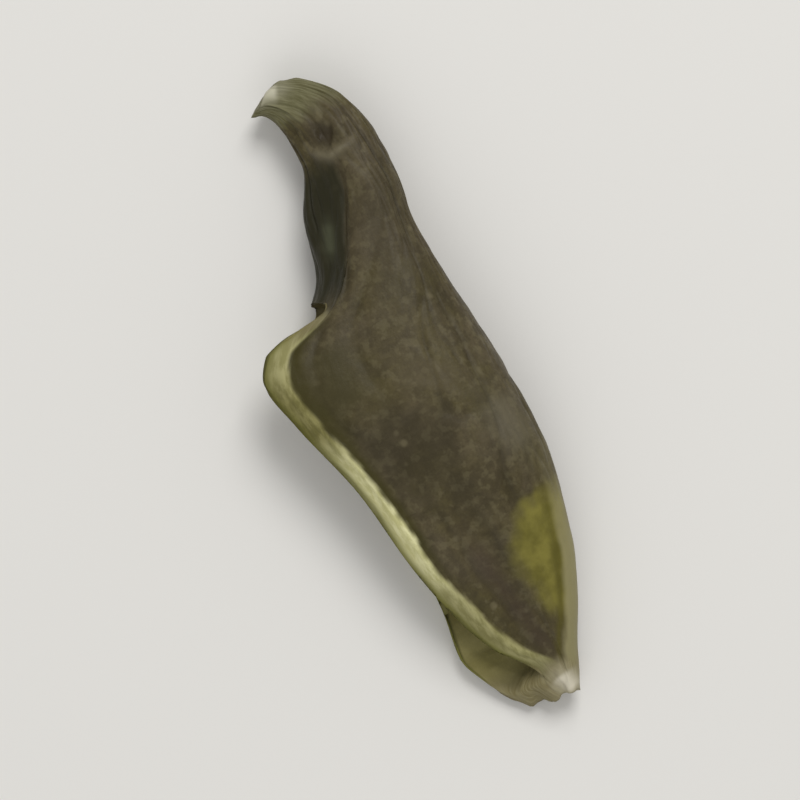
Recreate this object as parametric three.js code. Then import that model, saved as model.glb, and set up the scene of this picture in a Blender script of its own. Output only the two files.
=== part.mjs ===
// One dried, cut end of a green bean pod, lying on its side: a stem stub, a narrow neck, and a
// hollow body that was cut on the bias, so that it is open along one side and runs out to a tip.
// Millimetres, +Z up. X runs from the stem end to the tip, and the open side faces -Y.
import * as THREE from 'three';

// Driving dimensions. "Along" is the distance from the stem end, and "across" is along Y.
const LENGTH = 17.7;
const FULLNESS = 0.85; // 1 makes each cross-section an ellipse, and less makes it boxier
const MOUTH = { starts: 5.85, open: 6.45, narrows: 15.9, ends: 17.2 }; // along
const CORNER = { along: 7, across: -3.2, reach: 1.3, lift: 0.3 }; // curled corner of the lip
const CORNER_WALL = { from: 0.6, whole: 1.6 }; // heights between which the curl sets in
const STEM_CUT = { slant: 0.45, fades: 2 }; // the stem's cut end leans this much per mm across

// The flat patch that the piece rests on, a triangle. Its sides bow inwards by this share, and its
// corners reach lower by a hair, so that they carry the piece. Round it the underside stands clear.
const REST = {
  corners: [[6.2, 1.3], [7.6, -1.8], [13.9, 0.2]], // [along, across]
  bow: 0.1,
  hair: 0.003,
  gap: 0.15,
};

// From a lip's skin edge to the inner edge of its cut face, with the depth in wall thicknesses
const UPPER_CUT_LEAN = { along: -0.2, across: -0.46, deep: -0.9 };
const LOWER_CUT_LEAN = { along: -0.1, across: -0.12, deep: 0.85 };
const LEAN_SHARE = 0.16; // share of the inside over which the wall eases into the cut face
const HOLLOW_FLOOR = 0.4; // lowest height of the inside, which is pressed flat like the underside

// Lines along the piece, seen from above: [along, across]
const rightEdge = profile([
  [0, 0.35], [0.35, 0.85], [1.15, 1.69], [2.2, 2.04], [3.4, 2.07], [4.6, 1.93], [6.2, 2.07],
  [10.9, 2.54], [13.9, 2.03], [15.3, 1.52], [16.5, 0.95], [LENGTH, 0.5],
]);
const crownLine = profile([
  [0, 0], [1.4, 1.1], [3.5, 1.2], [5.6, 0.8], [8, 0.2], [14.5, 0.1], [16.5, 0.3], [LENGTH, 0.3],
]);
const upperLip = profile([
  [0, -0.5], [1, 0.2], [2.6, 0.65], [4.5, 0], [5.5, -0.6], [5.95, -1.2], [6.2, -1.9],
  [6.5, -2.65], [7.2, -3], [8.4, -2.72], [10.8, -1.98], [13, -1.6], [14.8, -1.1],
  [15.9, -0.6], [16.7, 0.02], [LENGTH, 0.25],
]);
const closedSide = profile([
  [0, -0.8], [0.9, -0.3], [2.1, -0.15], [3.6, -0.75], [4.9, -1.05], [6.2, -1.9],
  [16.2, -1.3], [LENGTH, -0.35],
]);
const lowerLip = profile([
  [0, -0.35], [2.5, 0.3], [4.5, -0.35], [5.9, -1.4], [7, -2.1], [10.5, -1.75], [14.2, -1.72],
  [15.6, -1.85], [16.4, -1.6], [17.2, -1.2], [LENGTH, -0.65],
]);

// Heights above the surface that the piece rests on: [along, height]
const crownHeight = profile([
  [0, 1.3], [1.2, 1.75], [3, 2.1], [5, 2.3], [7, 2.65], [9, 2.8], [11.5, 2.65], [14, 2.1],
  [16, 1.45], [LENGTH, 0.95],
]);
const seamHeight = profile([[0, 0.85], [5, 1.2], [9, 1.3], [13, 1.05], [16, 0.75], [LENGTH, 0.6]]);
const bellyHeight = profile([
  [0, 0.4], [2, 0.35], [4, 0.15], [6, -0.15], [9, -0.25], [13, -0.2], [15.5, 0],
  [LENGTH, 0.2],
]);

// From the crown line to where the left side would close if nothing were cut off: [along, width]
const leftSpread = profile([
  [0, 1.2], [2.5, 1.3], [5, 2.7], [7, 4.1], [10, 3.7], [13, 2.9], [15.5, 2.6], [16.5, 2.4],
  [LENGTH, 1.3],
]);
const wallThickness = profile([[12, 0.5], [17, 0.32]]);
const hollowReach = profile([[5.9, 0.1], [9, 1]]); // share of the way to the right wall

// Fineness of the mesh
const STATIONS = 46;
const LIP_SAMPLES = 900;
const SKIN_POINTS = 34;
const INSIDE_POINTS = 22;
const CAP_RING_SHARE = 0.5; // how far a ring on an end lies from the rim to the middle

// A smooth curve through [position, value] points that never swings past them.
function profile(points) {
  const secants = points.slice(1).map(([x, y], i) => (y - points[i][1]) / (x - points[i][0]));
  const slopes = points.map((_, i) => {
    const before = secants[Math.max(i - 1, 0)];
    const after = secants[Math.min(i, secants.length - 1)];
    return before * after > 0 ? (2 * before * after) / (before + after) : 0;
  });
  return (position) => {
    const after = points.findIndex(([x], i) => i > 0 && position <= x);
    const i = after < 0 ? points.length - 2 : after - 1;
    const step = points[i + 1][0] - points[i][0];
    const t = THREE.MathUtils.clamp((position - points[i][0]) / step, 0, 1);
    const rise = t * t * (3 - 2 * t);
    return (
      points[i][1] * (1 - rise) +
      points[i + 1][1] * rise +
      step * t * (1 - t) * (slopes[i] * (1 - t) - slopes[i + 1] * t)
    );
  };
}

// How far the pod is open at a distance along it: 0 is a closed pod, 1 an open shell.
function openness(along) {
  const opens = THREE.MathUtils.smoothstep(along, MOUTH.starts, MOUTH.open);
  return opens * (1 - THREE.MathUtils.smoothstep(along, MOUTH.narrows, MOUTH.ends));
}

// The angle at which the cross-section crosses a line on its left side. Angles go round from the
// right edge over the top, so an angle below the seam is negative.
function angleAt(along, across) {
  const share = (crownLine(along) - across) / leftSpread(along);
  return Math.PI - Math.acos(share ** (1 / FULLNESS));
}

function rounded(value) {
  return Math.sign(value) * Math.abs(value) ** FULLNESS;
}

// A point of the pod's cross-section, on the skin or on the inside of the wall.
function podPoint(along, angle, inside) {
  const inset = inside ? wallThickness(along) : 0;
  const reach = inside ? hollowReach(along) : 1;
  const crown = crownLine(along);
  const seam = seamHeight(along);
  const rightHalf = (rightEdge(along) - crown - inset) * reach;
  const leftHalf = leftSpread(along) - inset;
  const half = Math.cos(angle) > 0 ? rightHalf : leftHalf;
  const height = Math.sin(angle) > 0 ? crownHeight(along) - seam : seam - bellyHeight(along);
  return new THREE.Vector3(
    along,
    crown + half * rounded(Math.cos(angle)),
    seam + (height - inset) * rounded(Math.sin(angle)),
  );
}

// One of the points between the upper and the lower lip. Where the pod is closed they lie on the
// left side, and where it is open they lie on the inside, from one cut edge to the other.
function mouthPoint(along, place) {
  const share = place / (INSIDE_POINTS - 1);
  const shareOfSide = (place + 1) / (INSIDE_POINTS + 1);
  const wall = wallThickness(along);
  const angles = [angleAt(along, upperLip(along)), -angleAt(along, lowerLip(along))];
  const leans = [UPPER_CUT_LEAN, LOWER_CUT_LEAN];
  const lips = angles.map((angle) => podPoint(along, angle, false));
  const closed = lips[0].clone().lerp(lips[1], shareOfSide);
  const bulge = (lips[0].y + lips[1].y) / 2 - closedSide(along);
  closed.y -= bulge * Math.sin(Math.PI * shareOfSide);
  const hollow = podPoint(along, THREE.MathUtils.lerp(...angles, share), true);
  leans.forEach((lean, i) => {
    const shift = new THREE.Vector3(lean.along, lean.across, lean.deep * wall);
    const cutEdge = lips[i].clone().add(shift);
    const weight = Math.max(0, 1 - Math.abs(share - i) / LEAN_SHARE) ** 2;
    hollow.addScaledVector(cutEdge.sub(podPoint(along, angles[i], true)), weight);
  });
  hollow.z = Math.max(hollow.z, HOLLOW_FLOOR);
  return closed.lerp(hollow, openness(along));
}

// How near a point lies to each corner of the resting patch: 1 at the corner, and 0 on the side
// across from it.
function nearness(point) {
  const [a, b, c] = REST.corners;
  const here = [point.x, point.y];
  const twiceArea = (p, q, r) => (q[0] - p[0]) * (r[1] - p[1]) - (r[0] - p[0]) * (q[1] - p[1]);
  const areas = [twiceArea(here, b, c), twiceArea(a, here, c), twiceArea(a, b, here)];
  return areas.map((area) => area / twiceArea(a, b, c));
}

// How far a point of the underside stays above the surface that the piece rests on.
function clearance(point) {
  const [least, middling, most] = nearness(point).sort((one, other) => one - other);
  const onPatch = least >= 4 * REST.bow * middling * most;
  return onPatch ? REST.hair * Math.min(1, 3 * (1 - most)) : REST.gap;
}

// The stem's cut end is slanted, the corner of the upper lip curls up, and the underside is
// pressed flat where it rests.
function settled(point) {
  const slantLeft = Math.max(0, 1 - point.x / STEM_CUT.fades) ** 2;
  point.x -= STEM_CUT.slant * slantLeft * point.y;
  const distance = Math.hypot(point.x - CORNER.along, point.y - CORNER.across);
  const onUpperWall = THREE.MathUtils.smoothstep(point.z, CORNER_WALL.from, CORNER_WALL.whole);
  point.z += CORNER.lift * onUpperWall * Math.exp(-((distance / CORNER.reach) ** 2));
  point.z = Math.max(point.z, clearance(point));
  return point;
}

// The closed loop of points round the piece at one distance along it.
function section(along) {
  const lowest = -angleAt(along, lowerLip(along));
  const highest = angleAt(along, upperLip(along));
  const loop = [];
  for (let i = 0; i < SKIN_POINTS; i++) {
    const angle = THREE.MathUtils.lerp(lowest, highest, i / (SKIN_POINTS - 1));
    loop.push(podPoint(along, angle, false));
  }
  for (let place = 0; place < INSIDE_POINTS; place++) {
    loop.push(mouthPoint(along, place));
  }
  return loop.map(settled);
}

// Distances along the piece, evenly spaced on the upper lip, so that they crowd together where
// it turns out steeply.
function stationPlaces() {
  const step = LENGTH / LIP_SAMPLES;
  const walked = [0];
  for (let i = 1; i <= LIP_SAMPLES; i++) {
    walked.push(walked[i - 1] + Math.hypot(step, upperLip(i * step) - upperLip((i - 1) * step)));
  }
  return Array.from({ length: STATIONS }, (_, station) => {
    const target = (station / (STATIONS - 1)) * walked[LIP_SAMPLES];
    return step * walked.findIndex((distance) => distance >= target);
  });
}

function middleOf(loop) {
  return loop.reduce((sum, point) => sum.add(point), new THREE.Vector3()).divideScalar(loop.length);
}

function ringOnEnd(loop) {
  const middle = middleOf(loop);
  return loop.map((point) => point.clone().lerp(middle, CAP_RING_SHARE));
}

// The skin, the cut faces and the inside as one closed surface.
function podGeometry() {
  const sections = stationPlaces().map(section);
  const stemEnd = sections[0];
  const tipEnd = sections.at(-1);
  const loops = [ringOnEnd(stemEnd), ...sections, ringOnEnd(tipEnd)];
  const points = [middleOf(stemEnd), ...loops.flat(), middleOf(tipEnd)];
  const stemMiddle = 0;
  const tipMiddle = points.length - 1;
  const perLoop = stemEnd.length;
  const at = (loop, i) => 1 + loop * perLoop + (i % perLoop);
  const triangles = [];
  for (let i = 0; i < perLoop; i++) {
    triangles.push(stemMiddle, at(0, i + 1), at(0, i));
    for (let loop = 0; loop < loops.length - 1; loop++) {
      triangles.push(at(loop, i), at(loop, i + 1), at(loop + 1, i + 1));
      triangles.push(at(loop, i), at(loop + 1, i + 1), at(loop + 1, i));
    }
    triangles.push(tipMiddle, at(loops.length - 1, i), at(loops.length - 1, i + 1));
  }
  const geometry = new THREE.BufferGeometry().setFromPoints(points);
  geometry.setIndex(triangles);
  return geometry;
}

// The origin is under the middle of the piece, on the surface that it rests on.
function originUnderMiddle(geometry) {
  geometry.computeBoundingBox();
  const { min, max } = geometry.boundingBox;
  geometry.translate(-(min.x + max.x) / 2, -(min.y + max.y) / 2, -min.z);
  geometry.computeVertexNormals();
  return geometry;
}

const driedSkin = new THREE.MeshStandardMaterial({
  color: 0x50482f,
  roughness: 0.55,
  metalness: 0,
});

const podPiece = new THREE.Mesh(originUnderMiddle(podGeometry()), driedSkin);
podPiece.name = 'pod_piece';

const greenBean = new THREE.Group();
greenBean.add(podPiece);

export default greenBean;
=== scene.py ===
"""The looks of one dried, cut green bean: wrinkled skin, pale cut edges, torn fibres, matt inside.

The shape repeats the formulas of the solid model at a finer step, in millimetres, and the folds
and creases of the dried skin are carved into it. "Along" is the distance from the stem end, and
"across" is along Y. Lengths become metres where the mesh is made.
"""
import math
from collections import namedtuple

import bpy
import numpy as np
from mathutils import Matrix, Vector, noise


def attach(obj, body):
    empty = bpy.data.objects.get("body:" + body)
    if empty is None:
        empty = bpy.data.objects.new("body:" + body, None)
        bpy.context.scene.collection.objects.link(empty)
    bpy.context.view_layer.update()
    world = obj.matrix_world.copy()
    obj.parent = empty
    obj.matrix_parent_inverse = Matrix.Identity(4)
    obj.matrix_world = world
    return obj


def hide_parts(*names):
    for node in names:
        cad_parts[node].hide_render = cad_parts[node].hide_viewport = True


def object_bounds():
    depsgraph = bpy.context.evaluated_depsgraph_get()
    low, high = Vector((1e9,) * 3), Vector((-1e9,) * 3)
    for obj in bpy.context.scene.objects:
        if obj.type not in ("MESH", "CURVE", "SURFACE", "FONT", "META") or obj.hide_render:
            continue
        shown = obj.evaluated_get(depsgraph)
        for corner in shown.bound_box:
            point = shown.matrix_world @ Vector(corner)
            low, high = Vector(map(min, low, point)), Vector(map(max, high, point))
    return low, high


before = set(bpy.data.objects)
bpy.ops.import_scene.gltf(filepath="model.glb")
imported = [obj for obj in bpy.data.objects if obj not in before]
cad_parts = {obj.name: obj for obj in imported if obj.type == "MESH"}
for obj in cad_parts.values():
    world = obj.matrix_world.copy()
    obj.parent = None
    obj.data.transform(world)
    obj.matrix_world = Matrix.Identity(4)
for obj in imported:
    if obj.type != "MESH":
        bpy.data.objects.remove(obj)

CAD_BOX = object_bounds()
NODE = "pod_piece"
MM = 0.001

# Driving dimensions, as in the solid model
LENGTH = 17.7
FULLNESS = 0.85  # below 1, the cross-section is fuller than an ellipse
MOUTH = {"starts": 5.85, "open": 6.45, "narrows": 15.9, "ends": 17.2}
CORNER = {"along": 7, "across": -3.2, "reach": 1.3, "lift": 0.3}
CORNER_WALL = {"from": 0.6, "whole": 1.6}
STEM_CUT = {"slant": 0.45, "fades": 2}
UPPER_CUT_LEAN = {"along": -0.2, "across": -0.46, "deep": -0.9}
LOWER_CUT_LEAN = {"along": -0.1, "across": -0.12, "deep": 0.85}
LEAN_SHARE = 0.16  # share of the inside that bends towards each leaning cut face
HOLLOW_FLOOR = 0.4  # lowest height of the inside
REST = {"corners": [(6.2, 1.3), (7.6, -1.8), (13.9, 0.2)], "bow": 0.1, "hair": 0.003, "gap": 0.15}

# Fineness of the mesh
STATIONS = 340
LIP_SAMPLES = 4000
SKIN_POINTS = 168
CUT_POINTS = 12
INSIDE_POINTS = 80
MOUTH_POINTS = 2 * (CUT_POINTS - 1) + INSIDE_POINTS
CAP_RINGS = 10

TEAR_DEPTH = 0.35  # how far the torn edge beside the neck curves in
GRAIN_RADIUS = 1.5  # radius of the cylinder on which the grain of the skin is laid out
SEED_STEP = 17.31  # how far apart the noises of two seeds lie


def profile(points):
    """A smooth curve through (position, value) points that never swings past them."""
    places, values = np.array(points, dtype=float).T
    secants = np.diff(values) / np.diff(places)
    before = np.concatenate((secants[:1], secants))
    after = np.concatenate((secants, secants[-1:]))
    same_way = before * after > 0
    slopes = np.zeros(len(places))
    slopes[same_way] = (2 * before * after)[same_way] / (before + after)[same_way]

    def curve(position):
        i = np.clip(np.searchsorted(places, position) - 1, 0, len(places) - 2)
        step = places[i + 1] - places[i]
        t = np.clip((position - places[i]) / step, 0, 1)
        rise = t * t * (3 - 2 * t)
        swing = step * t * (1 - t) * (slopes[i] * (1 - t) - slopes[i + 1] * t)
        return values[i] * (1 - rise) + values[i + 1] * rise + swing

    return curve


right_edge = profile([
    (0, 0.35), (0.35, 0.85), (1.15, 1.69), (2.2, 2.04), (3.4, 2.07), (4.6, 1.93), (6.2, 2.07),
    (10.9, 2.54), (13.9, 2.03), (15.3, 1.52), (16.5, 0.95), (LENGTH, 0.5),
])
crown_line = profile([
    (0, 0), (1.4, 1.1), (3.5, 1.2), (5.6, 0.8), (8, 0.2), (14.5, 0.1), (16.5, 0.3), (LENGTH, 0.3),
])
upper_lip = profile([
    (0, -0.5), (1, 0.2), (2.6, 0.65), (4.5, 0), (5.5, -0.6), (5.95, -1.2), (6.2, -1.9),
    (6.5, -2.65), (7.2, -3), (8.4, -2.72), (10.8, -1.98), (13, -1.6), (14.8, -1.1),
    (15.9, -0.6), (16.7, 0.02), (LENGTH, 0.25),
])
closed_side = profile([
    (0, -0.8), (0.9, -0.3), (2.1, -0.15), (3.6, -0.75), (4.9, -1.05), (6.2, -1.9),
    (16.2, -1.3), (LENGTH, -0.35),
])
lower_lip = profile([
    (0, -0.35), (2.5, 0.3), (4.5, -0.35), (5.9, -1.4), (7, -2.1), (10.5, -1.75), (14.2, -1.72),
    (15.6, -1.85), (16.4, -1.6), (17.2, -1.2), (LENGTH, -0.65),
])
crown_height = profile([
    (0, 1.3), (1.2, 1.75), (3, 2.1), (5, 2.3), (7, 2.65), (9, 2.8), (11.5, 2.65), (14, 2.1),
    (16, 1.45), (LENGTH, 0.95),
])
seam_height = profile([
    (0, 0.85), (5, 1.2), (9, 1.3), (13, 1.05), (16, 0.75), (LENGTH, 0.6),
])
belly_height = profile([
    (0, 0.4), (2, 0.35), (4, 0.15), (6, -0.15), (9, -0.25), (13, -0.2), (15.5, 0),
    (LENGTH, 0.2),
])
left_spread = profile([
    (0, 1.2), (2.5, 1.3), (5, 2.7), (7, 4.1), (10, 3.7), (13, 2.9), (15.5, 2.6), (16.5, 2.4),
    (LENGTH, 1.3),
])
wall_thickness = profile([(12, 0.5), (17, 0.32)])
hollow_reach = profile([(5.9, 0.1), (9, 1)])

# How wide the pale rim is on the skin beside the upper lip, and how bright, along the piece
rim_width = profile([
    (5.9, 0.16), (7, 0.18), (9.3, 0.15), (10.3, 0.07), (13, 0.09), (14.5, 0.18), (16.7, 0.24),
])
rim_brightness = profile([
    (5.9, 0.35), (6.8, 0.25), (7.8, 0), (8.7, 0), (9.3, 0.4), (10, 0.85), (12.5, 1), (13.2, 0.85),
    (14, 0.3), (15.5, 0.15), (16.6, 0.25), (LENGTH, 0.9),
])
# How ragged the rim is, how wide it is beside the lower lip, and how soft its border is
RIM = {"ragged": 0.06, "lower_width": 0.05, "soft": 0.05}

# The olive edge of the skin beside the rim, which is widest by the corner
OLIVE_EDGE = {
    "middle": 0.08, "reach": 0.18, "wider_by": 0.35, "widest_at": 7.6, "spread": 1.3,
    "fades_by": 0.75,
}
# The pod's string, along the right edge, and the darker line beside it. It fades out round the
# side between two angles.
STRING = {"width": 0.36, "from": 10.8, "whole": 14.6, "soft": 0.07, "side": 0.12}
STRING_ANGLES = (-0.35, -0.05)

# Where these parts of the skin begin, are whole, begin to fade and end, along the piece: the left
# side of the neck, which is painted shade, the valley on its right, and the yellow patch near the
# tip
FACET = {"starts": 1.9, "whole": 2.8, "fades": 5.3, "ends": 6.1}
CREASE = {"starts": 2.2, "whole": 3, "fades": 5, "ends": 6.2, "width": 0.12}
BLUSH = {"starts": 12, "whole": 13, "fades": 15, "ends": 16.3}

# Where along the piece a change begins, and where it is complete
CHANGES = {
    "stem splinters end": (0, 0.6),
    "stem end becomes skin": (0.6, 1.4),
    "neck becomes body": (2, 6),
    "tear ends": (7, 9),
    "olive edge fades": (12.3, 14),
    "inside becomes smooth": (15.6, 16.6),
    "fibres end": (15.6, 16.8),
    "skin becomes tip": (16.45, 16.95),
    "tip splinters begin": (16.8, LENGTH),
}

# Lines on the upper skin, seen from above
crease_line = profile([(1.6, 0.3), (2.2, 0.7), (3.1, 0.6), (4.24, 0.1), (5.27, -0.32), (6.4, -1.1)])
blush_line = profile([(12, 2.3), (12.7, 1), (13.6, 0.5), (14.8, 0.5), (15.5, 0.8), (16, 1.2)])

# Marks on the upper skin: a line of (along, across) points with a soft edge beside it. The width
# is in millimetres, and the colour in sRGB from 0 to 255.
Mark = namedtuple("Mark", "line width colour strength")
MARKS = {
    "ear": Mark([(6.5, -1.7), (8.6, -1.7)], 0.8, (60, 55, 26), 0.75),
    # painted shade: a darker band on the body below the neck
    "shade": Mark([(3, 1.4), (5.5, 1), (6.8, 0.4)], 0.8, (62, 55, 38), 0.45),
    # painted light: a lighter patch on the belly
    "painted_light_patch": Mark([(8.1, 0.8), (8.9, 0.2)], 0.9, (96, 87, 66), 0.45),
    # a painted highlight: a pale grey sheen near the right edge
    "sheen": Mark([(9.6, 1.7), (11.4, 2)], 0.5, (108, 102, 84), 0.5),
    # the dimple is carved as a dent; its dark colour is painted shade in that hollow
    "dimple": Mark([(1.6, 0.5), (1.85, 0.95)], 0.27, (52, 44, 30), 0.8),
    "crescent": Mark([(2, 0.2), (2.33, 0.6), (2.2, 1.25)], 0.14, (104, 97, 76), 0.85),
    # a painted highlight: a pale glint streak on the dark facet
    "glint": Mark([(3.75, -0.2), (4.65, -0.55)], 0.15, (76, 78, 58), 0.7),
    # painted shade along the rim, with a purplish tint
    "shaded_stripe": Mark(
        [(12.4, -0.45), (14, -0.25), (15.6, 0.1), (16.5, 0.3)], 0.26, (62, 49, 40), 0.5
    ),
    "white_stem": Mark([(-0.1, -0.5), (0.1, 0.2)], 0.28, (196, 192, 170), 0.9),
    "white_tip": Mark([(17, 0.2), (LENGTH, 0.4)], 0.3, (204, 197, 176), 1),
}

# Folds of the dried skin, from broad to fine: their depth and their spacing along and round the
# piece in millimetres, and the level of the noise that their valleys reach up to
Fold = namedtuple("Fold", "deep lengthwise crosswise width seed")
FOLDS = [
    Fold(0.07, 4.5, 0.75, 0.28, 6),
    Fold(0.035, 2.2, 0.36, 0.3, 7),
    Fold(0.014, 0.9, 0.17, 0.35, 8),
]
WARP = (0.5, 0.28, 0.28)  # how far the folds are bent, along the piece and round it

# How deep the other details are carved, in millimetres. Less than 0 is raised.
DEEP = {
    "waves": 0.05, "bumps": 0.02, "dimple": 0.17, "crescent": -0.1, "crease": 0.1,
    "fibres": 0.03, "rim": -0.05, "inside": 0.05, "string": -0.03, "beside_string": 0.02,
    "tip": 0.02,
}
SPLINTERS = {"tip": 0.3, "stem": 0.14}  # longest gaps between the torn fibres of each end

# How far the middle of each end's face is moved along X, and how rough the faces are
CAP = {"stem_dome": -0.12, "tip_dome": -0.05, "rough": 0.05}

# The two colours that each kind of surface varies between, in sRGB from 0 to 255
TONES = {
    "skin": ((82, 73, 52), (78, 70, 40)),
    "blush": ((100, 94, 34), (130, 123, 54)),
    "inside": ((120, 113, 66), (150, 142, 92)),
    "bright rim": ((194, 190, 134), (222, 218, 168)),
    "dull rim": ((110, 105, 58), (140, 134, 84)),
    "tip": ((112, 102, 64), (142, 134, 98)),
    "stem end": ((82, 79, 46), (120, 117, 86)),
}
CUT_FACE_BY_INSIDE = (108, 106, 46)
FLOOR = (226, 224, 219)

# Layers of the skin's colour, laid over each other in this order: how strong each is, and its
# colour in sRGB
SKIN_LAYERS = {
    "mottled": (0.5, (56, 48, 29)),
    "streaks": (0.3, (100, 90, 62)),
    "fine": (0.3, (50, 43, 24)),
    "patchy": (0.35, (108, 100, 72)),
    # painted shade in the valleys of the folds
    "sunk": (0.5, (42, 36, 18)),
    "flecks": (0.4, (118, 109, 82)),
}
# Parts of the skin laid over those layers in this order: the facet, which is painted shade, and
# parts that have a colour of their own
SKIN_PARTS = {
    # painted shade on the side wall of the neck
    "facet": (0.9, (34, 33, 16)),
    "olive_edge": (0.9, (56, 51, 10)),
    "string_side": (0.7, (84, 78, 26)),
    "string": (0.9, (140, 133, 94)),
}

FRAME_WIDTH = 21.0  # width of the picture, in millimetres on the floor
LENS = 180
PIECE_IN_PICTURE = {"right": 0.432, "down": 0.902}  # where the piece's +X points in the picture


def smoothstep(value, low, high):
    t = np.clip((value - low) / (high - low), 0, 1)
    return t * t * (3 - 2 * t)


def bell(value, middle, width):
    return np.exp(-(((value - middle) / width) ** 2))


def within(beyond, soft):
    """1 inside a border and 0 beyond it, where the border is soft over twice this distance."""
    return 1 - smoothstep(beyond, -soft, soft)


def changed(what, along):
    """0 before one of the changes along the piece, and 1 after it."""
    return smoothstep(along, *CHANGES[what])


def openness(along):
    """0 where the pod is closed and 1 where it is an open shell."""
    closes = smoothstep(along, MOUTH["narrows"], MOUTH["ends"])
    return smoothstep(along, MOUTH["starts"], MOUTH["open"]) * (1 - closes)


def shares_of_side():
    """How far round the left side each point between the lips lies, from 0 to 1."""
    return (np.arange(1, MOUTH_POINTS + 1) / (MOUTH_POINTS + 1))[None, :]


def mouth_openness(along):
    """Openness of the points between the lips. Beside the neck the middle tears open first."""
    beside_neck = 1 - changed("tear ends", along)
    return openness(along + TEAR_DEPTH * np.sin(np.pi * shares_of_side()) * beside_neck)


def angle_at(along, across):
    """The angle, round from the right edge over the top, at a line on the left side."""
    share = (crown_line(along) - across) / left_spread(along)
    return np.pi - np.arccos(share ** (1 / FULLNESS))


def lip_angles(along):
    """The angles at the upper and at the lower lip."""
    return angle_at(along, upper_lip(along)), -angle_at(along, lower_lip(along))


def skin_angles(along):
    """The angles of the points on the skin, from the lower lip to the upper."""
    highest, lowest = lip_angles(along)
    share = np.linspace(0, 1, SKIN_POINTS)[None, :]
    return lowest * (1 - share) + highest * share


def rounded(value):
    """A cosine or a sine, raised to the power that gives the section its fullness."""
    return np.sign(value) * np.abs(value) ** FULLNESS


def pod_point(along, angle, inside):
    """Points of the pod's cross-section, on the skin or on the inside of the wall."""
    inset = wall_thickness(along) if inside else 0
    reach = hollow_reach(along) if inside else 1
    crown = crown_line(along)
    seam = seam_height(along)
    right_half = (right_edge(along) - crown - inset) * reach
    half = np.where(np.cos(angle) > 0, right_half, left_spread(along) - inset)
    height = np.where(np.sin(angle) > 0, crown_height(along) - seam, seam - belly_height(along))
    across = crown + half * rounded(np.cos(angle))
    level = seam + (height - inset) * rounded(np.sin(angle))
    return np.stack(np.broadcast_arrays(along, across, level), axis=-1)


def station_places():
    """Distances along the piece, evenly spaced on the upper lip."""
    samples = np.linspace(0, LENGTH, LIP_SAMPLES)
    steps = np.hypot(np.diff(samples), np.diff(upper_lip(samples)))
    walked = np.concatenate(([0], np.cumsum(steps)))
    return np.interp(np.linspace(0, walked[-1], STATIONS), walked, samples)[:, None]


def open_mouth(along, angles, lips):
    """From the upper to the lower lip: the cut face, the inside and the lower cut face."""
    wall = wall_thickness(along)
    cut_edges = [
        lip + np.stack(np.broadcast_arrays(lean["along"], lean["across"], lean["deep"] * wall), -1)
        for lip, lean in zip(lips, (UPPER_CUT_LEAN, LOWER_CUT_LEAN))
    ]
    share = np.linspace(0, 1, INSIDE_POINTS)[None, :]
    hollow = pod_point(along, angles[0] * (1 - share) + angles[1] * share, True)
    for i in range(2):
        weight = np.clip(1 - np.abs(share - i) / LEAN_SHARE, 0, 1)[..., None] ** 2
        hollow = hollow + weight * (cut_edges[i] - pod_point(along, angles[i], True))
    hollow[..., 2] = np.maximum(hollow[..., 2], HOLLOW_FLOOR)
    down_face = (np.arange(1, CUT_POINTS) / CUT_POINTS)[None, :, None]
    return np.concatenate((
        lips[0] * (1 - down_face) + cut_edges[0] * down_face,
        hollow,
        cut_edges[1] * (1 - down_face) + lips[1] * down_face,
    ), axis=1)


def mouth_points(along):
    """The points between the lips. Where the pod is closed, they lie on its left side."""
    angles = lip_angles(along)
    lips = [pod_point(along, angle, False) for angle in angles]
    of_side = shares_of_side()[..., None]
    closed_points = lips[0] * (1 - of_side) + lips[1] * of_side
    bulge = (lips[0][..., 1] + lips[1][..., 1]) / 2 - closed_side(along)
    closed_points[..., 1] -= bulge * np.sin(np.pi * of_side[..., 0])
    opened = mouth_openness(along)[..., None]
    return closed_points * (1 - opened) + open_mouth(along, angles, lips) * opened


def nearness(x, y):
    """1 at each corner of the resting patch, falling to 0 on the side across from it."""
    a, b, c = REST["corners"]

    def twice_area(p, q, r):
        return (q[0] - p[0]) * (r[1] - p[1]) - (r[0] - p[0]) * (q[1] - p[1])

    here = (x, y)
    areas = [twice_area(here, b, c), twice_area(a, here, c), twice_area(a, b, here)]
    return np.stack(areas) / twice_area(a, b, c)


def clearance(x, y):
    """How far the underside stays above the surface that the piece rests on."""
    least, middling, most = np.sort(nearness(x, y), axis=0)
    on_patch = least >= 4 * REST["bow"] * middling * most
    return np.where(on_patch, REST["hair"] * np.minimum(1, 3 * (1 - most)), REST["gap"])


def settle(points):
    """Slants the stem's cut end, curls the lip's corner up and presses the underside flat."""
    x, y, z = np.moveaxis(points.copy(), -1, 0)
    x = x - STEM_CUT["slant"] * np.clip(1 - x / STEM_CUT["fades"], 0, None) ** 2 * y
    distance = np.hypot(x - CORNER["along"], y - CORNER["across"])
    on_upper_wall = smoothstep(z, CORNER_WALL["from"], CORNER_WALL["whole"])
    z = z + CORNER["lift"] * on_upper_wall * np.exp(-((distance / CORNER["reach"]) ** 2))
    return np.stack((x, y, np.maximum(z, clearance(x, y))), axis=-1)


def smooth_shape(along):
    """The piece before its folds: an array of stations by points by XYZ."""
    skin = pod_point(along, skin_angles(along), False)
    return settle(np.concatenate((skin, mouth_points(along)), axis=1))


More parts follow.
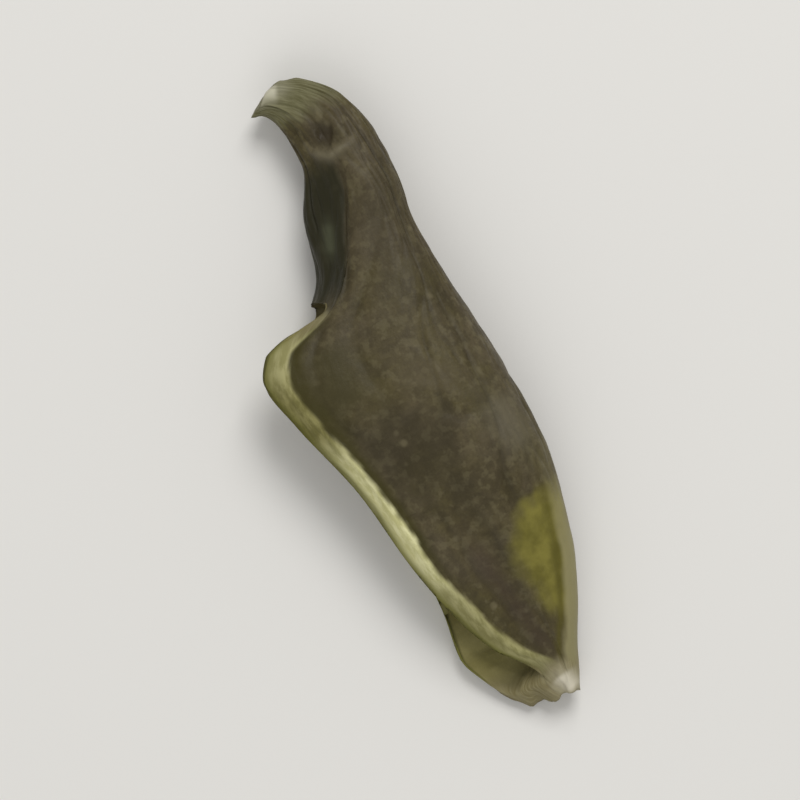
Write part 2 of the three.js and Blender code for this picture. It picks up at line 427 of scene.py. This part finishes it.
def grain_coordinates(along):
    """Coordinates that run with the grain of the skin, and the angle at each point.

    The first coordinate runs along the piece, and the other two go round it.
    """
    highest, lowest = lip_angles(along)
    of_side = shares_of_side()
    mouth = highest * (1 - of_side) + (lowest + 2 * np.pi) * of_side
    angle = np.concatenate((skin_angles(along), mouth), axis=1)
    y, z = GRAIN_RADIUS * np.cos(angle), GRAIN_RADIUS * np.sin(angle)
    return np.stack(np.broadcast_arrays(along, y, z), axis=-1), angle


def noise_at(points, period, seed):
    """Smooth noise from about -1 to 1, with its own period along X, Y and Z."""
    scaled = points.reshape(-1, 3) / np.array(period) + seed * SEED_STEP
    values = np.array([noise.noise(Vector(p)) for p in scaled.tolist()])
    return values.reshape(points.shape[:-1])


def grain_noise(grain, lengthwise, crosswise, seed):
    """Smooth noise with one period along the piece and another round it."""
    return noise_at(grain, (lengthwise, crosswise, crosswise), seed)


def folds(grain, lengthwise, crosswise, width, seed):
    """1 in the narrow valleys between rounded folds, and 0 on their tops."""
    level = grain_noise(grain, lengthwise, crosswise, seed)
    return np.clip(1 - np.abs(level) / width, 0, 1) ** 2


def distance_to_line(x, y, line):
    """Distance to a bent line through (along, across) points, and the share along it."""
    line = np.array(line)
    nearest = np.full(x.shape, np.inf)
    share_at = np.zeros(x.shape)
    for i, (start, end) in enumerate(zip(line, line[1:])):
        run = end - start
        share = np.clip(((x - start[0]) * run[0] + (y - start[1]) * run[1]) / (run @ run), 0, 1)
        away = np.hypot(x - start[0] - share * run[0], y - start[1] - share * run[1])
        share_at = np.where(away < nearest, (i + share) / (len(line) - 1), share_at)
        nearest = np.minimum(nearest, away)
    return nearest, share_at


def mark_share(x, y, mark, fade=0.25, at_tips=0.3):
    """1 on the line of a mark, less near its ends, and falling to 0 away from it."""
    away, share = distance_to_line(x, y, mark.line)
    inwards = smoothstep(share, 0, fade) * (1 - smoothstep(share, 1 - fade, 1))
    return bell(away, 0, mark.width) * (at_tips + (1 - at_tips) * inwards)


def arc_from_lips(points):
    """Distances over the skin from the upper lip and from the lower lip."""
    steps = np.linalg.norm(np.diff(points[:, :SKIN_POINTS], axis=1), axis=-1)
    from_lower = np.concatenate((np.zeros((len(points), 1)), np.cumsum(steps, axis=1)), axis=1)
    from_upper = from_lower[:, -1:] - from_lower
    far = np.full((len(points), MOUTH_POINTS), LENGTH)
    return np.concatenate((from_upper, far), axis=1), np.concatenate((from_lower, far), axis=1)


def mouth_areas(angle, opened):
    """Which points lie on the skin, on the cut faces and on the inside."""
    place = np.broadcast_to(np.arange(angle.shape[1])[None, :], angle.shape)
    first_inside = SKIN_POINTS + CUT_POINTS - 1
    last_inside = first_inside + INSIDE_POINTS - 1
    on_mouth = place >= SKIN_POINTS
    on_inside = (place > first_inside) & (place < last_inside)
    to_lip = np.minimum(place - SKIN_POINTS + 1, angle.shape[1] - place)
    return {
        "skin": np.where(on_mouth, 1 - opened, 1.0),
        "cut": (on_mouth & ~on_inside) * opened,
        "face": np.clip(to_lip / CUT_POINTS, 0, 1) * on_mouth,
        "inside": on_inside * opened,
    }


def rim_areas(along, points, on_mouth, cut, opened, wander, speckle):
    """The pale rim beside the lips, and the olive edge of the skin along it."""
    from_upper, from_lower = arc_from_lips(points)
    beyond = from_upper - rim_width(along) + RIM["ragged"] * wander + RIM["ragged"] * speckle
    beyond = np.minimum(beyond, from_lower - RIM["lower_width"])
    on_skin = within(beyond, RIM["soft"]) * opened
    near_corner = bell(along, OLIVE_EDGE["widest_at"], OLIVE_EDGE["spread"])
    olive_reach = OLIVE_EDGE["reach"] + OLIVE_EDGE["wider_by"] * near_corner
    olive = 1 - OLIVE_EDGE["fades_by"] * changed("olive edge fades", along)
    return {
        "rim": np.where(on_mouth, cut, on_skin),
        "rim_brightness": np.broadcast_to(rim_brightness(along), beyond.shape),
        "olive_edge": bell(beyond, OLIVE_EDGE["middle"], olive_reach) * opened * ~on_mouth * olive,
    }


def string_areas(along, across, angle, upward, skin, wander, speckle):
    """The pale string along the right edge, and the darker line beside it."""
    from_right = right_edge(along) - across + 0.07 * wander
    starts = smoothstep(along + 0.7 * wander, STRING["from"], STRING["whole"])
    beyond = from_right - STRING["width"] + 0.03 * speckle
    above = smoothstep(angle, *STRING_ANGLES)
    return {
        "string": within(beyond, STRING["soft"]) * above * starts * skin,
        "string_side": bell(beyond, STRING["side"], STRING["side"]) * starts * upward,
    }


def neck_areas(along, across, wander):
    """How far the crease along the neck is, and the facet on its left, which gets painted shade."""
    from_crease = crease_line(along) - across
    past_crease = smoothstep(from_crease + 0.05 * wander, -0.02, 0.14)
    begun = smoothstep(along, FACET["starts"], FACET["whole"])
    ended = smoothstep(along + 0.5 * wander, FACET["fades"], FACET["ends"])
    return {
        "from_crease": from_crease,
        # the facet's mask, where its painted shade goes
        "facet": np.clip(past_crease * (begun * (1 - ended)), 0, 1),
    }


def blush_area(along, across, upward, wander, speckle):
    """The yellow patch near the tip."""
    past_line = across - blush_line(along) + 0.2 * wander + 0.12 * speckle
    begun = smoothstep(along + 0.3 * speckle, BLUSH["starts"], BLUSH["whole"])
    ended = smoothstep(along, BLUSH["fades"], BLUSH["ends"])
    return smoothstep(past_line, -0.3, 0.4) * (begun * (1 - ended)) * upward


def surface_areas(grain, angle, points):
    """Shares from 0 to 1 of each kind of surface at each point, and how far the crease is.

    Two noises bend the borders between them: one makes them wander, and a finer one speckles them.
    """
    along = grain[..., 0]
    x, y = points[..., 0], points[..., 1]
    station = along[:, :1]
    on_skin = np.broadcast_to(openness(station), (len(station), SKIN_POINTS))
    opened = np.concatenate((on_skin, mouth_openness(station)), axis=1)
    on_mouth = np.broadcast_to(np.arange(angle.shape[1]) >= SKIN_POINTS, angle.shape)
    wander = grain_noise(grain, 0.8, 0.5, seed=20)
    speckle = grain_noise(grain, 0.3, 0.22, seed=21)

    areas = mouth_areas(angle, opened)
    skin = areas["skin"]
    upward = smoothstep(np.sin(angle), 0, 0.35) * skin
    areas.update(rim_areas(along, points, on_mouth, areas["cut"], opened, wander, speckle))
    areas.update(string_areas(along, y, angle, upward, skin, wander, speckle))
    areas.update(neck_areas(along, y, wander))
    ragged = 0.3 * wander + 0.2 * speckle
    areas["torn"] = 4 * opened * (1 - opened) * on_mouth * (along < CORNER["along"])
    areas["stem_end"] = 1 - changed("stem end becomes skin", along + ragged)
    areas["tip"] = changed("skin becomes tip", along + ragged)
    areas["blush"] = blush_area(along, y, upward, wander, speckle)
    for name, mark in MARKS.items():
        areas[name] = mark_share(x, y, mark) * upward * (1 - areas["rim"])
    return areas


def fold_strength(grain, areas):
    """How strongly the skin is folded: more on the neck, and not at all on the cut faces."""
    along = grain[..., 0]
    girth = crown_height(along) / crown_height(9)
    patches = 0.5 + 0.9 * grain_noise(grain, 3, 1.3, seed=4)
    neck = 1 - changed("neck becomes body", along)
    strength = np.clip(0.5 + 0.5 * patches + 0.4 * neck, 0, 2) * girth * (1 - areas["rim"])
    strength = strength * (1 - 0.6 * areas["dimple"]) * (1 - 0.6 * areas["crescent"])
    return strength * (1 - 0.85 * changed("inside becomes smooth", along) * (1 - areas["skin"]))


def relief(points, grain, angle, areas):
    """How deep the dried surface has sunk at each point, in millimetres; less than 0 is raised."""
    along = grain[..., 0]
    warp = np.stack([grain_noise(grain, 2.5, 1.2, seed) for seed in (1, 2, 3)], axis=-1)
    bent = grain + warp * np.array(WARP)
    strength = fold_strength(grain, areas)
    depth = DEEP["waves"] * (0.5 + grain_noise(grain, 2.6, 1.0, seed=5))
    for fold in FOLDS:
        valleys = folds(bent, fold.lengthwise, fold.crosswise, fold.width, fold.seed)
        depth += fold.deep * strength * valleys
    depth += DEEP["bumps"] * strength * grain_noise(grain, 0.5, 0.4, seed=9)

    upward = smoothstep(np.sin(angle), 0.1, 0.5) * areas["skin"]
    creased = smoothstep(along, CREASE["starts"], CREASE["whole"])
    creased = creased * (1 - smoothstep(along, CREASE["fades"], CREASE["ends"]))
    depth += upward * DEEP["dimple"] * areas["dimple"]
    depth += upward * DEEP["crescent"] * areas["crescent"]
    creased = creased * bell(areas["from_crease"], 0, CREASE["width"])
    depth += upward * DEEP["crease"] * creased

    fibres = grain_noise(grain, 0.8, 0.12, seed=10) * (1 - changed("fibres end", along))
    swell = np.cos(np.pi / 2 * areas["face"])
    depth += areas["rim"] * (DEEP["fibres"] * fibres + DEEP["rim"] * swell)
    in_hollow = areas["inside"] * (1 - changed("inside becomes smooth", along))
    wrinkles = folds(bent, lengthwise=0.7, crosswise=1.2, width=0.4, seed=11)
    depth += in_hollow * DEEP["inside"] * wrinkles
    depth = depth * (1 - 0.8 * areas["string"]) + DEEP["string"] * areas["string"]
    depth += DEEP["beside_string"] * areas["string_side"]
    depth += DEEP["tip"] * areas["tip"] * noise_at(points, (1.5, 0.25, 1.5), seed=42)
    return depth


def grid_normals(points):
    """The outward direction at each point of the closed tube of loops."""
    round_loop = np.roll(points, -1, axis=1) - np.roll(points, 1, axis=1)
    lengthwise = np.gradient(points, axis=0)
    normals = np.cross(round_loop, lengthwise)
    return normals / np.maximum(np.linalg.norm(normals, axis=-1, keepdims=True), 1e-9)


def torn_ends(points, grain):
    """Pulls the points near both ends back by different lengths, as in torn fibres."""
    along = grain[..., 0]
    pull = np.clip(0.5 + 0.9 * noise_at(points, (3, 0.35, 1.1), seed=40), 0, 1)
    pulled = points.copy()
    pulled[..., 0] -= SPLINTERS["tip"] * pull * changed("tip splinters begin", along)
    pulled[..., 0] += SPLINTERS["stem"] * pull * (1 - changed("stem splinters end", along))
    return pulled


def cap_rings(loop, dome):
    """Loops that close an end towards its middle, with a rough, slightly domed face."""
    middle = loop.mean(axis=0)
    shares = (np.arange(1, CAP_RINGS) / CAP_RINGS)[:, None, None]
    rings = loop[None] * (1 - shares) + middle * shares
    rough = CAP["rough"] * noise_at(rings, (3, 0.2, 0.5), seed=41)
    rings[..., 0] += dome * np.sin(np.pi / 2 * shares[..., 0]) + rough * shares[..., 0]
    return rings


def add_attribute(mesh, name, values):
    """Stores one number, or one vector, for each point of the mesh."""
    is_vector = values.ndim > 1
    kind, field = ("FLOAT_VECTOR", "vector") if is_vector else ("FLOAT", "value")
    attribute = mesh.attributes.new(name, kind, "POINT")
    attribute.data.foreach_set(field, values.astype(np.float32).ravel())


def closed_tube(name, loops, values):
    """A mesh of loops joined to each other and closed at both ends, with its attributes."""
    count, per_loop = loops.shape[:2]
    ends = [loops[0].mean(axis=0), loops[-1].mean(axis=0)]
    vertices = np.concatenate((loops.reshape(-1, 3), ends))
    at = np.arange(count * per_loop).reshape(count, per_loop)
    after = np.roll(at, -1, axis=1)
    quads = np.stack((at[:-1], after[:-1], after[1:], at[1:]), axis=-1).reshape(-1, 4)
    stem_middle, tip_middle = len(vertices) - 2, len(vertices) - 1
    fans = [(stem_middle, b, a) for a, b in zip(at[0].tolist(), after[0].tolist())]
    fans += [(tip_middle, a, b) for a, b in zip(at[-1].tolist(), after[-1].tolist())]
    mesh = bpy.data.meshes.new(name)
    mesh.from_pydata((vertices * MM).tolist(), [], quads.tolist() + fans)
    mesh.shade_smooth()
    for key, grid in values.items():
        flat = grid.reshape(count * per_loop, *grid.shape[2:])
        end_values = np.stack((grid[0].mean(axis=0), grid[-1].mean(axis=0)))
        add_attribute(mesh, key, np.concatenate((flat, end_values)))
    tube = bpy.data.objects.new(name, mesh)
    bpy.context.scene.collection.objects.link(tube)
    return tube


def build_pod():
    """The folded piece as an object, centred on the solid model and kept within its box."""
    along = station_places()
    grain, angle = grain_coordinates(along)
    smooth = smooth_shape(along)
    areas = surface_areas(grain, angle, smooth)
    depth = relief(smooth, grain, angle, areas)
    points = torn_ends(smooth - depth[..., None] * grid_normals(smooth), grain)

    low, high = (np.array(corner) / MM for corner in CAD_BOX)
    middle = (smooth.min(axis=(0, 1)) + smooth.max(axis=(0, 1))) / 2
    shift = (low + high) / 2 - middle
    shift[2] = 0
    stem_cap = cap_rings(points[0], CAP["stem_dome"])[::-1]
    tip_cap = cap_rings(points[-1], CAP["tip_dome"])
    loops = np.clip(np.concatenate((stem_cap, points, tip_cap)) + shift, low, high)

    def with_caps(grid):
        rings = (CAP_RINGS - 1,) + (1,) * (grid.ndim - 1)
        return np.concatenate((np.tile(grid[:1], rings), grid, np.tile(grid[-1:], rings)))

    values = {name: with_caps(grid) for name, grid in areas.items()}
    values["depth"] = with_caps(depth)
    values["grain"] = with_caps(grain)
    return closed_tube("bean_pod", loops, values)


def linear(red, green, blue):
    """A colour given as sRGB from 0 to 255, as linear values with alpha."""
    shares = [value / 255 for value in (red, green, blue)]
    return tuple(s / 12.92 if s <= 0.04045 else ((s + 0.055) / 1.055) ** 2.4 for s in shares) + (1,)


class Look:
    """One material, whose nodes are added and joined by short calls."""

    def __init__(self, name):
        self.material = bpy.data.materials.new(name)
        self.material.use_nodes = True
        self.tree = self.material.node_tree
        self.shader = self.tree.nodes["Principled BSDF"]

    def feed(self, socket, value):
        if isinstance(value, bpy.types.NodeSocket):
            self.tree.links.new(value, socket)
        else:
            socket.default_value = value

    def attribute(self, name, output="Fac"):
        node = self.tree.nodes.new("ShaderNodeAttribute")
        node.attribute_name = name
        return node.outputs[output]

    def scaled(self, vector, scale):
        node = self.tree.nodes.new("ShaderNodeVectorMath")
        node.operation = "MULTIPLY"
        self.feed(node.inputs[0], vector)
        self.feed(node.inputs[1], scale)
        return node.outputs[0]

    def noise(self, vector, scale, detail=3.0, roughness=0.55):
        """Noise with its own scale along each axis, or one scale for all three."""
        scales = scale if isinstance(scale, tuple) else (scale, scale, scale)
        node = self.tree.nodes.new("ShaderNodeTexNoise")
        self.feed(node.inputs["Vector"], self.scaled(vector, scales))
        node.inputs["Scale"].default_value = 1
        node.inputs["Detail"].default_value = detail
        node.inputs["Roughness"].default_value = roughness
        return node.outputs["Fac"]

    def flecks(self, vector, scale):
        node = self.tree.nodes.new("ShaderNodeTexVoronoi")
        self.feed(node.inputs["Vector"], self.scaled(vector, (scale, scale, scale)))
        node.inputs["Scale"].default_value = 1
        return node.outputs["Distance"]

    def ramp(self, value, low, high, to_low=0.0, to_high=1.0):
        node = self.tree.nodes.new("ShaderNodeMapRange")
        node.interpolation_type = "SMOOTHSTEP"
        self.feed(node.inputs["Value"], value)
        node.inputs["From Min"].default_value = low
        node.inputs["From Max"].default_value = high
        node.inputs["To Min"].default_value = to_low
        node.inputs["To Max"].default_value = to_high
        return node.outputs["Result"]

    def math(self, operation, first, second):
        node = self.tree.nodes.new("ShaderNodeMath")
        node.operation = operation
        self.feed(node.inputs[0], first)
        self.feed(node.inputs[1], second)
        return node.outputs[0]

    def mix(self, share, first, second):
        node = self.tree.nodes.new("ShaderNodeMix")
        node.data_type = "RGBA"
        self.feed(node.inputs[0], share)
        self.feed(node.inputs[6], first)
        self.feed(node.inputs[7], second)
        return node.outputs[2]

    def between(self, share, kind):
        """A colour between the two tones of a kind of surface."""
        first, second = (linear(*tone) for tone in TONES[kind])
        return self.mix(share, first, second)

    def tint(self, share, strength, colour, other):
        """Mixes up to the given strength of another colour into a colour."""
        return self.mix(self.math("MULTIPLY", share, strength), colour, other)

    def bump(self, height, strength, distance):
        node = self.tree.nodes.new("ShaderNodeBump")
        node.inputs["Strength"].default_value = strength
        node.inputs["Distance"].default_value = distance
        self.feed(node.inputs["Height"], height)
        return node.outputs["Normal"]


def skin_colour(look, grain, place):
    """Olive brown skin: mottled, streaked with the grain and flecked, with painted shade in the
    valleys of the folds.
    """
    cloudy = look.ramp(look.noise(grain, (0.55, 1.0, 1.0), detail=4), 0.38, 0.62)
    skin = look.between(cloudy, "skin")
    patterns = {
        "mottled": look.ramp(look.noise(grain, (2.4, 3, 3), detail=3, roughness=0.65), 0.42, 0.6),
        "streaks": look.ramp(look.noise(grain, (0.9, 6, 6), detail=5, roughness=0.6), 0.45, 0.7),
        "fine": look.ramp(look.noise(place, 9000, detail=4, roughness=0.7), 0.35, 0.7),
        "patchy": look.ramp(look.noise(place, 3600, detail=2, roughness=0.6), 0.5, 0.66),
        # painted shade: darker where the folds sink deeper
        "sunk": look.ramp(look.attribute("depth"), 0.03, 0.12),
        "flecks": look.ramp(look.flecks(place, 1200), 0.17, 0.05),
    }
    for layer, (strength, colour) in SKIN_LAYERS.items():
        skin = look.tint(patterns[layer], strength, skin, linear(*colour))
    cloud = look.ramp(look.noise(place, 1500, detail=3, roughness=0.55), 0.3, 0.65)
    skin = look.tint(look.attribute("blush"), 0.85, skin, look.between(cloud, "blush"))
    for part, (strength, colour) in SKIN_PARTS.items():
        skin = look.tint(look.attribute(part), strength, skin, linear(*colour))
    return skin


def inside_colour(look, grain):
    """Pale yellow, softly clouded along the grain."""
    soft = look.ramp(look.noise(grain, (0.8, 1.5, 1.5), detail=4), 0.35, 0.65)
    return look.between(soft, "inside")


def rim_colours(look, fibres):
    """The colour of the rim on the skin, and of the cut face, which darkens towards the inside."""
    streaky = look.ramp(fibres, 0.35, 0.65)
    dull, bright = look.between(streaky, "dull rim"), look.between(streaky, "bright rim")
    rim = look.mix(look.attribute("rim_brightness"), dull, bright)
    beyond = look.math("ADD", look.attribute("face"), look.ramp(fibres, 0.2, 0.8, -0.1, 0.1))
    return rim, look.tint(look.ramp(beyond, 0.35, 1), 0.9, rim, linear(*CUT_FACE_BY_INSIDE))


def dried_pod_look():
    """The material of the whole piece, in which each area's colour covers those before it."""
    look = Look("dried_pod")
    grain = look.attribute("grain", "Vector")
    place = look.tree.nodes.new("ShaderNodeTexCoord").outputs["Object"]
    fibres = look.noise(grain, (2, 9, 9), detail=4, roughness=0.6)
    rim, cut = rim_colours(look, fibres)
    tip = look.between(look.ramp(fibres, 0.25, 0.75), "tip")
    stem = look.between(look.ramp(fibres, 0.3, 0.7), "stem end")

    colour = skin_colour(look, grain, place)
    colour = look.mix(look.attribute("inside"), colour, inside_colour(look, grain))
    colour = look.mix(look.attribute("rim"), colour, rim)
    colour = look.mix(look.attribute("cut"), colour, cut)
    colour = look.tint(look.attribute("tip"), 0.9, colour, tip)
    colour = look.tint(look.attribute("stem_end"), 0.95, colour, stem)
    colour = look.tint(look.attribute("torn"), 0.9, colour, tip)
    # the marks cover all the rest; some are painted shade and painted highlights
    for name, mark in MARKS.items():
        colour = look.tint(look.attribute(name), mark.strength, colour, linear(*mark.colour))
    look.feed(look.shader.inputs["Base Color"], colour)

    pale_parts = look.math("ADD", look.attribute("cut"), look.attribute("inside"))
    look.feed(look.shader.inputs["Roughness"], look.ramp(pale_parts, 0, 1, 0.5, 0.8))
    look.shader.inputs["Specular IOR Level"].default_value = 0.2
    grit = look.noise(place, 12000, detail=4, roughness=0.65)
    look.feed(look.shader.inputs["Normal"], look.bump(grit, strength=0.5, distance=0.02 * MM))
    return look.material


def add_floor():
    bpy.ops.mesh.primitive_plane_add(size=4)
    plane = bpy.context.object
    plane.name = "floor"
    pale = bpy.data.materials.new("floor")
    pale.use_nodes = True
    shader = pale.node_tree.nodes["Principled BSDF"]
    shader.inputs["Base Color"].default_value = linear(*FLOOR)
    shader.inputs["Roughness"].default_value = 0.7
    plane.data.materials.append(pale)
    return plane


def area_light(name, place, size, power):
    """A square light that faces the piece. Its place and size are in metres."""
    light = bpy.data.lights.new(name, "AREA")
    light.shape = "SQUARE"
    light.size = size
    light.energy = power
    lamp = bpy.data.objects.new(name, light)
    bpy.context.scene.collection.objects.link(lamp)
    lamp.location = place
    lamp.rotation_mode = "QUATERNION"
    lamp.rotation_quaternion = (-Vector(place)).to_track_quat("-Z", "Y")


def light_studio():
    """Even white surroundings, one soft key light and a weaker fill light."""
    world = bpy.data.worlds.new("studio")
    bpy.context.scene.world = world
    world.use_nodes = True
    background = world.node_tree.nodes["Background"]
    background.inputs["Color"].default_value = (1, 1, 1, 1)
    background.inputs["Strength"].default_value = 0.45
    area_light("key", (-0.12, 0.10, 0.20), size=0.12, power=0.35)
    area_light("fill", (0.15, -0.10, 0.18), size=0.2, power=0.12)
    bpy.context.scene.view_settings.view_transform = "Standard"


def add_camera():
    """A long lens straight above the piece, turned as the piece stands in the photograph."""
    lens = bpy.data.cameras.new("camera")
    lens.lens = LENS
    lens.clip_start = 0.001
    lens.clip_end = 10
    camera = bpy.data.objects.new("camera", lens)
    bpy.context.scene.collection.objects.link(camera)
    bpy.context.scene.camera = camera
    camera.location = (0, 0, FRAME_WIDTH * lens.lens / lens.sensor_width * MM)
    turn = math.atan2(PIECE_IN_PICTURE["down"], PIECE_IN_PICTURE["right"])
    camera.rotation_euler = (0, 0, turn)


pod = build_pod()
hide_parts(NODE)
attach(pod, "root")
pod.data.materials.append(dried_pod_look())
floor = add_floor()
light_studio()
add_camera()
